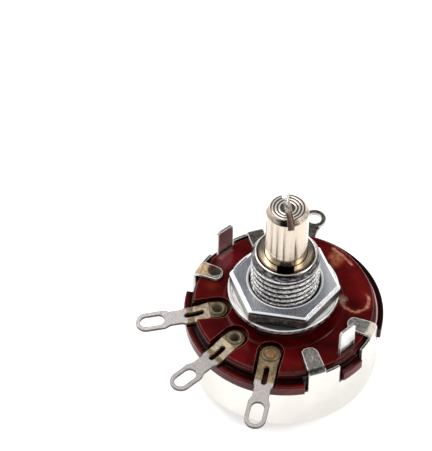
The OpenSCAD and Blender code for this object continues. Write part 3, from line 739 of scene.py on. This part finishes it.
def turned_nickel(colour):
    """Turned shaft: rings on the end partly painted reflection, brown film and a painted pale half
    in the slot, a few drawn lines up the side, painted reflections and painted shade.
    """
    f = Finish("turned nickel")
    hair = f.noise(1.0, 3, 0.6, f.polar(1.2, 0.0, 6000.0))
    end = f.step(f.z, SHAFT_TOP_Z - 0.00004, SHAFT_TOP_Z - 0.00002)
    slot_floor_z = SHAFT_TOP_Z - SLOT_DEPTH
    across = abs(f.toward((-math.sin(SLOT_ANGLE), math.cos(SLOT_ANGLE))))
    along = f.toward((math.cos(SLOT_ANGLE), math.sin(SLOT_ANGLE)))
    inside = f.fade(across, SLOT_WIDTH * 0.5 + 1e-5, SLOT_WIDTH * 0.5 + 3e-5)
    inside = inside * f.step(f.z, slot_floor_z - 0.0001, slot_floor_z - 0.00005)

    # Side: faint streaks up it, drawn lines near its foot, two dull bands at the back painted as
    # reflections
    upward_streaks = f.flecks(1.0, 5, 0.6, 0.25, 0.70, f.polar(6.0, 0.0, 60.0))
    shade = f.mix(upward_streaks, toned(colour, 0.84), colour)
    drawn = f.strongest(
        f.line(-52.4, 0.00010, MOUTH_Z + 0.0045, MOUTH_Z + 0.0080) * 0.7,
        f.line(-20.3, 0.00013, MOUTH_Z + 0.0040, MOUTH_Z + 0.0068) * 0.9,
        f.line(-70.7, 0.00010, MOUTH_Z + 0.0050, MOUTH_Z + 0.0085) * 0.35,
    )
    shade = f.mix(drawn, shade, (0.10, 0.07, 0.05))
    band_reflections = f.strongest(
        f.line(104, 0.0016, SHAFT_TOP_Z, SHAFT_TOP_Z + 0.001),
        f.line(166, 0.0011, SHAFT_TOP_Z, SHAFT_TOP_Z + 0.001),
    )
    shade = f.mix(band_reflections * 0.55, shade, (0.30, 0.245, 0.195))
    shade = f.mix(hair * 0.25, shade, toned(colour, 0.8))

    # End: turned rings, their bright and dark partly painted reflection, cloudy in the middle
    first_ring, ring_step = 0.00118, 0.00047
    wavy = f.radius + (f.noise(500, 2) - 0.5) * 0.00012 - first_ring
    wave = (wavy * (2 * math.pi / ring_step)).math("COSINE")
    ring = (wave * 0.5 + 0.5) * f.step(f.radius, 0.0008, 0.001)
    middle = f.fade(f.radius, 0.0007, 0.0010)
    face = f.strongest(ring, middle * f.noise(2200, 3))
    shade = f.mix(end, shade, f.mix(face, (0.22, 0.14, 0.11), (0.98, 0.90, 0.79)))

    # Chamfer round the end painted brown as shade, broken by rubbed flecks, and painted shade in
    # the gap at the foot
    chamfer = f.step(f.z, SHAFT_TOP_Z - 0.0007, SHAFT_TOP_Z - 0.0006) * (1 - end) * (1 - inside)
    rubbed = f.flecks(1.0, 4, 0.7, 0.40, 0.58, f.polar(2.5, 2600.0, 0.0))
    shade = f.mix(chamfer * (1 - rubbed) * 0.6, shade, (0.20, 0.14, 0.11))
    foot = f.fade(f.z, MOUTH_Z + 0.00018, MOUTH_Z + 0.00026)
    shade = f.mix(foot, shade, DARK_GAP_SHADE)

    # Slot: brown film in one half, and the other half painted pale with bright flecks as painted
    # light
    film = f.mix(f.flecks(2600, 4, 0.7, 0.42, 0.58), (0.15, 0.14, 0.11), (0.95, 0.93, 0.86))
    film = f.mix(f.step(along, -0.0004, 0.0006), (0.20, 0.12, 0.095), film)
    shade = f.mix(inside * (1 - f.edges(0.0002)), shade, film)

    height = f.node("ShaderNodeMix", {"data_type": "FLOAT"}, {0: end, 2: hair * 0.25, 3: ring})
    rough = 0.12 + hair * 0.08 + inside * 0.25
    metallic = 1 - end * ring * (1 - inside) * 0.5 - inside * 0.4
    return f.finish(shade, rough, f.bump(height, 3e-5, f.rounded(0.00012)), metallic)


def tinned_terminal(name, colour, flux):
    """Tinned strip: dull grey outside the rim, yellowed by flux over its inner half, painted shade
    on its sides and in corners, pale edges partly painted highlight.
    """
    f = Finish(name)
    cloud = f.noise(900, 4, 0.6)
    fine = f.noise(6000, 3, 0.65)
    level = f.upward()
    shade = f.mix(f.step(fine, 0.38, 0.62), toned(colour, 0.70), toned(colour, 1.15))
    # Painted shade on the upright sides
    shade = f.mix(1 - level, shade, (0.045, 0.037, 0.036))
    # Edge flecks painted near-white, partly wear and partly painted highlight
    worn = f.edges(0.00030) * f.flecks(1300, 4, 0.7, 0.44, 0.56)
    shade = f.mix(worn * 0.8, shade, (0.95, 0.94, 0.93))
    burr = f.edges(0.00022, 0.01, 0.10) * f.flecks(2600, 3, 0.55, 0.30, 0.45)
    shade = f.mix(burr * 0.8, shade, (0.10, 0.085, 0.082))
    inner = f.fade(f.radius + (cloud - 0.5) * 0.0014, 0.0139, 0.0143)
    film = f.mix(f.flecks(1500, 5, 0.75, 0.34, 0.66), toned(flux, 0.35), toned(flux, 1.4))
    shade = f.mix(inner * 0.95, shade, film)
    # Painted shade in the corners
    shade = f.mix(f.crevice(0.0008) ** 1.5, shade, (0.02, 0.016, 0.01))
    rough = 0.40 + (cloud - 0.5) * 0.2 - inner * 0.16
    metallic = (0.6 - inner * 0.5) * level
    return f.finish(shade, rough, f.bump(fine, 9e-6, f.rounded(0.0001)), metallic)


def olive_rivet(name, node, colour, hollow):
    """Rivet under dried flux: a dark line of painted shade round its hollow, another colour in it,
    pale on the eyelets as painted light, edges painted bright as highlight.
    """
    f = Finish(name)
    low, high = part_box(node)
    middle = (low + high) / 2
    across, along = f.x - middle.x, f.y - middle.y
    out = (across * across + along * along).math("SQRT")
    cloud = f.flecks(1800, 4, 0.7, 0.3, 0.7)
    fine = f.noise(6000, 3, 0.65)
    shade = f.mix(cloud, toned(colour, 0.6), toned(colour, 1.2))
    # The hollow's colour, pale on the open eyelets as painted light inside them
    shade = f.mix(f.fade(out, 0.00045, 0.00085), shade, hollow)
    # Painted shade round the rim of the hollow
    line = f.band(out, 0.00095, 0.00006, 0.00014)
    shade = f.mix(line * 0.7, shade, toned(colour, 0.3))
    # Edges painted bright as painted highlight
    shade = f.mix(f.edges(0.00014) * 0.5, shade, toned(colour, 2.4))
    rough = 0.34 + cloud * 0.1
    return f.finish(shade, rough, f.bump(fine, 8e-6, f.rounded(0.0001)), 0.35)


def plain_finish(name, colour, roughness, metallic):
    """Finish of an inner piece: one colour, faintly cloudy, with a fine grain."""
    f = Finish(name)
    cloud = f.noise(1500, 4)
    grain = f.noise(8000, 2)
    shade = f.mix(cloud, toned(colour, 0.8), toned(colour, 1.15))
    rough = roughness + (cloud - 0.5) * 0.14
    return f.finish(shade, rough, f.bump(grain, 3e-6, f.rounded(0.0001)), metallic)


class POT_OT_can(Operator):
    """Plates the can"""

    bl_idname = "pot.can"
    bl_label = "Can"

    def execute(self, context):
        dress(nickel_plate(context.scene.pot_colours.nickel), "dust_cover")
        return {"FINISHED"}


class POT_OT_base(Operator):
    """Gives the moulded base its resin"""

    bl_idname = "pot.base"
    bl_label = "Base"

    def execute(self, context):
        dress(moulded_resin(context.scene.pot_colours.resin), "base")
        return {"FINISHED"}


class POT_OT_bushing(Operator):
    """Makes the bushing with its cut thread"""

    bl_idname = "pot.bushing"
    bl_label = "Threaded bushing"

    def execute(self, context):
        sizes = context.scene.pot_thread
        row = (THREAD_HIGH_Z - THREAD_LOW_Z) / THREAD_ROWS
        thread = [(CREST_R, THREAD_LOW_Z + row * i) for i in range(THREAD_ROWS + 1)]
        collar_low, collar_high = UNDER_Z + 0.001, UNDER_Z + 0.0024
        shoulder_z = BASE_FACE_Z + 0.00012
        bevel = 0.0002
        bm = turned(
            [
                (BORE_R, UNDER_Z),
                (FOOT_R, UNDER_Z),
                (FOOT_R, collar_low),
                (COLLAR_R, collar_low),
                (COLLAR_R, collar_high),
                (FOOT_R, collar_high),
                (FOOT_R, shoulder_z),
                (SHOULDER_R, shoulder_z),
                (SHOULDER_R, SEAT_Z - bevel),
                (SHOULDER_R - bevel, SEAT_Z),
                (MID_R, SEAT_Z),
                (MID_R, THREAD_LOW_Z - 0.0001),
                *thread,
                (CREST_R - CHAMFER_DEPTH, CHAMFER_LOW_Z),
                (CREST_R - MOUTH_DEPTH, MOUTH_Z),
                (RECESS_R, MOUTH_Z),
                (RECESS_R, RECESS_Z),
                (BORE_R, RECESS_Z),
            ],
            sizes.columns,
        )
        cut_thread(bm, sizes.pitch, sizes.depth)
        bmesh.ops.remove_doubles(bm, verts=bm.verts, dist=2e-6)
        bmesh.ops.recalc_face_normals(bm, faces=bm.faces)
        metal = bushing_metal(context.scene.pot_colours.bushing, sizes.depth)
        piece = mesh_object("threaded_bushing", bm, metal)
        for face in piece.data.polygons:
            face.use_smooth = True
        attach(piece, "housing")
        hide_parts("bushing")
        return {"FINISHED"}


class POT_OT_fasteners(Operator):
    """Plates the nut and the flat washer"""

    bl_idname = "pot.fasteners"
    bl_label = "Nut and washer"

    def execute(self, context):
        colours = context.scene.pot_colours
        dress(zinc_plate(colours.zinc), "mounting_nut")
        dress(flat_washer_plate(colours.washer), "flat_washer")
        return {"FINISHED"}


class POT_OT_shaft(Operator):
    """Gives the shaft and its ring their finish"""

    bl_idname = "pot.shaft"
    bl_label = "Shaft and ring"

    def execute(self, context):
        colours = context.scene.pot_colours
        dress(turned_nickel(colours.shaft), "shaft")
        dress(golden_ring(colours.ring), "retaining_ring")
        return {"FINISHED"}


class POT_OT_terminals(Operator):
    """Tins the terminals and their rivets"""

    bl_idname = "pot.terminals"
    bl_label = "Terminals and rivets"

    def execute(self, context):
        colours = context.scene.pot_colours
        for side in ("left", "middle", "right"):
            material = tinned_terminal(f"tinned {side} terminal", colours.tin, colours.flux)
            dress(material, f"terminal_{side}")
        olive, brown = (0.26, 0.21, 0.13), (0.20, 0.145, 0.07)
        # The eyelets' pale hollow colours are painted light
        for name, node, colour, hollow in (
            ("tinned eyelet_left", "eyelet_left", olive, (0.95, 0.86, 0.64)),
            ("tinned eyelet_middle", "eyelet_middle", olive, (0.55, 0.44, 0.30)),
            ("closed rivet", "rivet_right", brown, (0.25, 0.115, 0.05)),
        ):
            dress(olive_rivet(name, node, colour, hollow), node)
        return {"FINISHED"}


class POT_OT_inner(Operator):
    """Gives the pieces inside the can their finishes"""

    bl_idname = "pot.inner"
    bl_label = "Inner pieces"

    def execute(self, context):
        for node, name, colour, roughness, metallic in (
            ("element_board", "brown laminate", (0.30, 0.17, 0.08), 0.5, 0.0),
            ("resistance_track", "carbon film", (0.03, 0.03, 0.03), 0.45, 0.0),
            ("collector_ring", "silver film", (0.80, 0.79, 0.76), 0.3, 1.0),
            ("rotor_carrier", "black moulding", (0.035, 0.03, 0.028), 0.4, 0.0),
            ("wiper_spring", "bronze strip", (0.80, 0.55, 0.28), 0.28, 1.0),
            ("track_brush", "carbon brush", (0.05, 0.05, 0.055), 0.5, 0.3),
            ("collector_brush", "carbon pip", (0.05, 0.05, 0.055), 0.5, 0.3),
            ("thrust_washer", "thrust washer metal", (0.72, 0.70, 0.66), 0.3, 1.0),
            ("spring_washer", "spring steel", (0.60, 0.60, 0.62), 0.3, 1.0),
        ):
            dress(plain_finish(name, colour, roughness, metallic), node)
        return {"FINISHED"}


def placed(centre, z_axis):
    """The place of a thing at centre whose own z axis points along z_axis."""
    return Matrix.Translation(centre) @ z_axis.to_track_quat("Z", "Y").to_matrix().to_4x4()


def lay_floor():
    """Lays a pale floor that looks white and keeps the object's shadow."""
    material = bpy.data.materials.new("pale floor")
    sheet = NodeSheet(material)
    diffuse = sheet.node("ShaderNodeBsdfDiffuse", None, {"Color": (0.80, 0.80, 0.80, 1)})
    values = {"Color": (1, 1, 1, 1), "Strength": sheet.seen() * 0.42}
    glow = sheet.node("ShaderNodeEmission", None, values)
    both = sheet.node("ShaderNodeAddShader", None, {0: diffuse, 1: glow})
    sheet.node("ShaderNodeOutputMaterial", None, {"Surface": both})
    bm = bmesh.new()
    bmesh.ops.create_grid(bm, x_segments=8, y_segments=8, size=1.5)
    mesh_object("studio_floor", bm, material)


def light_room(scene, strength):
    """Fills the room with even light and keeps it white where it is seen."""
    scene.world = bpy.data.worlds.new("studio room")
    sheet = NodeSheet(scene.world)
    values = {0: sheet.seen(), 2: strength, 3: 1.0}
    level = sheet.node("ShaderNodeMix", {"data_type": "FLOAT"}, values)
    values = {"Color": (1, 1, 1, 1), "Strength": level}
    background = sheet.node("ShaderNodeBackground", None, values)
    sheet.node("ShaderNodeOutputWorld", None, {"Surface": background})


def hang_lamp(scene, name, power, size, place):
    """Hangs a square lamp that shines at the middle of the object."""
    light = bpy.data.lights.new(name, "AREA")
    light.energy = power
    light.size = size
    lamp = bpy.data.objects.new(name, light)
    scene.collection.objects.link(lamp)
    place = Vector(place)
    lamp.matrix_world = placed(place, place - Vector((0, 0, 0.015)))


def hang_card(name, size, place, glow):
    """Hangs a dark card that only reflections see, with its face to the object."""
    material = bpy.data.materials.new(name)
    sheet = NodeSheet(material)
    light = sheet.node("ShaderNodeEmission", None, {"Color": (*glow, 1)})
    sheet.node("ShaderNodeOutputMaterial", None, {"Surface": light})
    bm = bmesh.new()
    bmesh.ops.create_grid(bm, x_segments=1, y_segments=1, size=0.5)
    bmesh.ops.scale(bm, vec=(*size, 1), verts=bm.verts)
    card = mesh_object(name, bm, material)
    place = Vector(place)
    card.matrix_world = placed(place, -place)
    card.visible_camera = False
    card.visible_diffuse = False
    card.visible_shadow = False


def place_camera(scene, sizes):
    """Sets the camera at the photograph's viewing angle."""
    image_height, sensor = 451, 36
    focal_pixels, right_pixels, down_pixels = 2181.44, 68.0117, 75.0920
    roll = math.radians(0.1764)
    a, e = sizes.azimuth, sizes.elevation
    back = Vector((math.sin(a) * math.cos(e), -math.cos(a) * math.cos(e), math.sin(e)))
    level = Vector((math.cos(a), math.sin(a), 0))
    steep = back.cross(level)
    right = math.cos(roll) * level + math.sin(roll) * steep
    up = -math.sin(roll) * level + math.cos(roll) * steep
    pixel = sizes.distance / focal_pixels
    place = Vector((0, 0, BASE_FACE_Z)) + back * sizes.distance
    place += up * (down_pixels * pixel) - right * (right_pixels * pixel)
    data = bpy.data.cameras.new("camera")
    data.sensor_width = sensor
    data.lens = focal_pixels * sensor / image_height
    data.clip_start = 0.01
    camera = bpy.data.objects.new("camera", data)
    turn = Matrix((right, up, back)).transposed().to_4x4()
    camera.matrix_world = Matrix.Translation(place) @ turn
    scene.collection.objects.link(camera)
    scene.camera = camera


class POT_OT_stage(Operator):
    """Sets the floor, the light and the camera"""

    bl_idname = "pot.stage"
    bl_label = "Studio"

    def execute(self, context):
        scene = context.scene
        sizes = scene.pot_studio
        lay_floor()
        light_room(scene, sizes.room)
        hang_lamp(scene, "key_lamp", sizes.key, 0.30, (-0.25, -0.05, 0.42))
        hang_lamp(scene, "fill_lamp", sizes.fill, 0.20, (0.30, 0.20, 0.30))
        hang_card("ceiling_flag", (2.4, 2.4), (0, 0.001, 0.55), (0.13, 0.135, 0.145))
        hang_card("front_card", (0.56, 0.38), (0.304, -0.332, 0.219), (0.006, 0.006, 0.008))
        place_camera(scene, sizes)
        scene.view_settings.view_transform = "Standard"
        return {"FINISHED"}


class POT_PT_panel(Panel):
    """Lists the steps, with their sizes and colours under them"""

    bl_label = "Potentiometer"
    bl_idname = "POT_PT_panel"
    bl_space_type = "VIEW_3D"
    bl_region_type = "UI"
    bl_category = "Potentiometer"

    def draw(self, context):
        for step in STEPS:
            self.layout.operator(step.bl_idname)
        scene = context.scene
        for group in (scene.pot_thread, scene.pot_colours, scene.pot_studio):
            for name in group.__annotations__:
                self.layout.prop(group, name)


GROUPS = {"pot_thread": ThreadSizes, "pot_colours": FinishColours, "pot_studio": StudioSizes}
STEPS = (
    POT_OT_can,
    POT_OT_base,
    POT_OT_bushing,
    POT_OT_fasteners,
    POT_OT_shaft,
    POT_OT_terminals,
    POT_OT_inner,
    POT_OT_stage,
)
CLASSES = (*GROUPS.values(), *STEPS, POT_PT_panel)


def register():
    """Makes the classes known, and hangs the groups of sizes on the scene."""
    for known in CLASSES:
        bpy.utils.register_class(known)
    for name, group in GROUPS.items():
        setattr(bpy.types.Scene, name, PointerProperty(type=group))


def unregister():
    """Takes away what register made."""
    for name in GROUPS:
        delattr(bpy.types.Scene, name)
    for known in reversed(CLASSES):
        bpy.utils.unregister_class(known)


def main():
    """Makes every piece and the stage."""
    register()
    bpy.ops.pot.can()
    bpy.ops.pot.base()
    bpy.ops.pot.bushing()
    bpy.ops.pot.fasteners()
    bpy.ops.pot.shaft()
    bpy.ops.pot.terminals()
    bpy.ops.pot.inner()
    bpy.ops.pot.stage()


if __name__ == "__main__":
    main()
